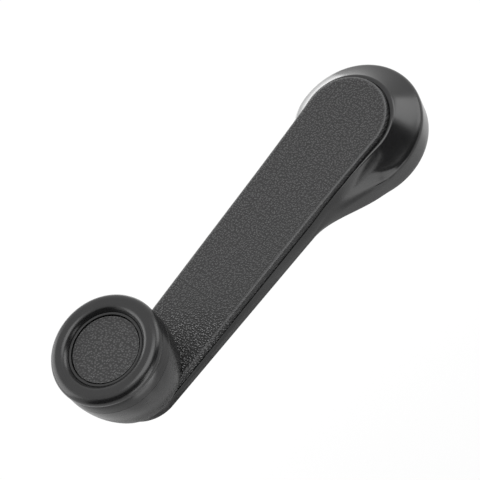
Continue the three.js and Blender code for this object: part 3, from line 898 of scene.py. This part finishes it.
# What it stands round, azimuth from +Y towards +X, elevation, width, height, distance,
# brightness of its face
softBoxes = {
    "overhead": ("middle", 130, 74, 0.68, 0.68, 0.9, 2.6),
    "left": ("middle", 326, 18, 0.85, 0.78, 0.85, 2),
    "low": ("middle", 190, -18, 0.36, 0.2, 0.42, 1.65),
    "right": ("middle", 104, 18, 0.5, 0.46, 0.85, 2.5),
    "hubCard": ("hub", 350, -26, 0.17, 0.09, 0.15, 1.4),
    "rootCard": ("hub", 204, 10, 0.066, 0.085, 0.15, 2.5),
}
# Dark cloths that keep light off: azimuths, elevations, distance, share of the light stopped
flags = {
    "front": ((128, 276), (-8, 46), 0.75, 1),
    "lowRight": ((95, 172), (-62, -34), 0.27, 0.3),
    "below": ((0, 360), (-89.9, -62), 0.27, 0.3),
    "lowArm": ((180, 197), (-56, -38), 0.27, 0.45),
    "lowEnd": ((217, 250), (-60, -36), 0.27, 0.25),
    "lowRoot": ((164, 180), (-31, -16), 0.27, 0.42),
}
# Round cloths close under the arm, in millimetres: x, radius, height, share of the light stopped
underCloths = {
    "underEnd": (-95, 16.5, 5.5, 0.5),
    "underArm": (-84, 18, 5.2, 0.25),
    "underMiddle": (-62, 21, 4.9, 0.2),
}
clothSteps = {"across": 24, "up": 10, "round": 64}
clothColour = (0.02, 0.02, 0.02, 1)


def heading(azimuth, elevation):
    a, e = math.radians(azimuth), math.radians(elevation)
    return Vector((math.sin(a) * math.cos(e), math.cos(a) * math.cos(e), math.sin(e)))


def makeCamera():
    s = studio
    right, up, back = (Vector(s[key]).normalized() for key in ("right", "up", "back"))
    data = bpy.data.cameras.new("camera")
    data.lens = s["lens"]
    data.sensor_width = s["sensor"]
    data.clip_start, data.clip_end = s["clip"]
    camera = bpy.data.objects.new("camera", data)
    place = Vector(s["aim"]) + back * s["distance"] + right * s["shift"][0] + up * s["shift"][1]
    turn = Matrix((right, up, back)).transposed().to_4x4()
    camera.matrix_world = Matrix.Translation(place) @ turn
    bpy.context.scene.collection.objects.link(camera)
    bpy.context.scene.camera = camera


def softBox(name, target, azimuth, elevation, width, height, distance, brightness):
    data = bpy.data.lights.new(name, "AREA")
    data.shape = "RECTANGLE"
    data.size, data.size_y = width, height
    data.energy = brightness * math.pi * width * height
    lamp = bpy.data.objects.new(name, data)
    out = heading(azimuth, elevation)
    lamp.location = Vector(studio[target]) + out * distance
    lamp.rotation_euler = out.to_track_quat("Z", "Y").to_euler()
    lamp.visible_camera = False
    bpy.context.scene.collection.objects.link(lamp)


def hangCloth(cloth, density):
    material, _, shader = newMaterial(cloth.name)
    shader.inputs["Base Color"].default_value = clothColour
    shader.inputs["Roughness"].default_value = 1
    shader.inputs["Specular IOR Level"].default_value = 0
    shader.inputs["Alpha"].default_value = density
    cloth.data.materials.append(material)
    cloth.visible_camera = False


def flag(name, azimuths, elevations, distance, density):
    across, up = clothSteps["across"], clothSteps["up"]
    middle = Vector(studio["middle"])
    verts = [
        (middle + heading(azimuth, elevation) * distance) / mm
        for elevation in spread(*elevations, up) for azimuth in spread(*azimuths, across)
    ]
    width = across + 1
    corners = [row * width + i for row in range(up) for i in range(across)]
    faces = [[c, c + 1, c + 1 + width, c + width] for c in corners]
    hangCloth(makePiece(name, verts, faces), density)


def underCloth(name, x, radius, height, density):
    ring = arc(x, 0, radius, 0, 2 * math.pi, clothSteps["round"])[:-1]
    verts = [(*point, height) for point in ring]
    hangCloth(makePiece(name, verts, [list(range(len(ring)))]), density)


def shaderMix(tree, share, first, second):
    node = tree.nodes.new("ShaderNodeMixShader")
    if isinstance(share, float):
        node.inputs[0].default_value = share
    else:
        tree.links.new(share, node.inputs[0])
    tree.links.new(first.outputs[0], node.inputs[1])
    tree.links.new(second.outputs[0], node.inputs[2])
    return node


def floorPaint():  # white where it is seen, plain paint where it lights things, clear from below
    material, tree, shader = newMaterial("white floor")
    tree.nodes.remove(shader)
    paint = addNode(tree, "ShaderNodeBsdfDiffuse", Color=studio["floorColour"])
    white = addNode(tree, "ShaderNodeEmission", Color=(1, 1, 1, 1), Strength=1.0)
    seen = shaderMix(tree, studio["floorWhite"], paint, white)
    path = tree.nodes.new("ShaderNodeLightPath").outputs
    look = mathNode(tree, "MAXIMUM", path["Is Camera Ray"], path["Is Glossy Ray"])
    look = mathNode(tree, "MAXIMUM", look, path["Is Transmission Ray"])
    above = shaderMix(tree, look, paint, seen)
    clear = tree.nodes.new("ShaderNodeBsdfTransparent")
    below = tree.nodes.new("ShaderNodeNewGeometry").outputs["Backfacing"]
    whole = shaderMix(tree, below, above, clear)
    tree.links.new(whole.outputs[0], tree.nodes["Material Output"].inputs["Surface"])
    return material


def makeFloor():
    edge, height = studio["floorEdge"] / mm, studio["floorHeight"] / mm
    corners = [(-edge, -edge), (edge, -edge), (edge, edge), (-edge, edge)]
    floor = makePiece("floor", [(x, y, height) for x, y in corners], [[0, 1, 2, 3]])
    floor.data.materials.append(floorPaint())


def makeWorld():
    world = bpy.data.worlds.new("studio")
    bpy.context.scene.world = world
    world.use_nodes = True
    background = world.node_tree.nodes["Background"]
    background.inputs["Color"].default_value = (1, 1, 1, 1)
    background.inputs["Strength"].default_value = studio["worldLight"]


makeCamera()
makeWorld()
makeFloor()
for name, settings in softBoxes.items():
    softBox(name, *settings)
for name, settings in flags.items():
    flag(name, *settings)
for name, settings in underCloths.items():
    underCloth(name, *settings)
bpy.context.scene.view_settings.view_transform = "Standard"
print("studio made")

print("scene made")
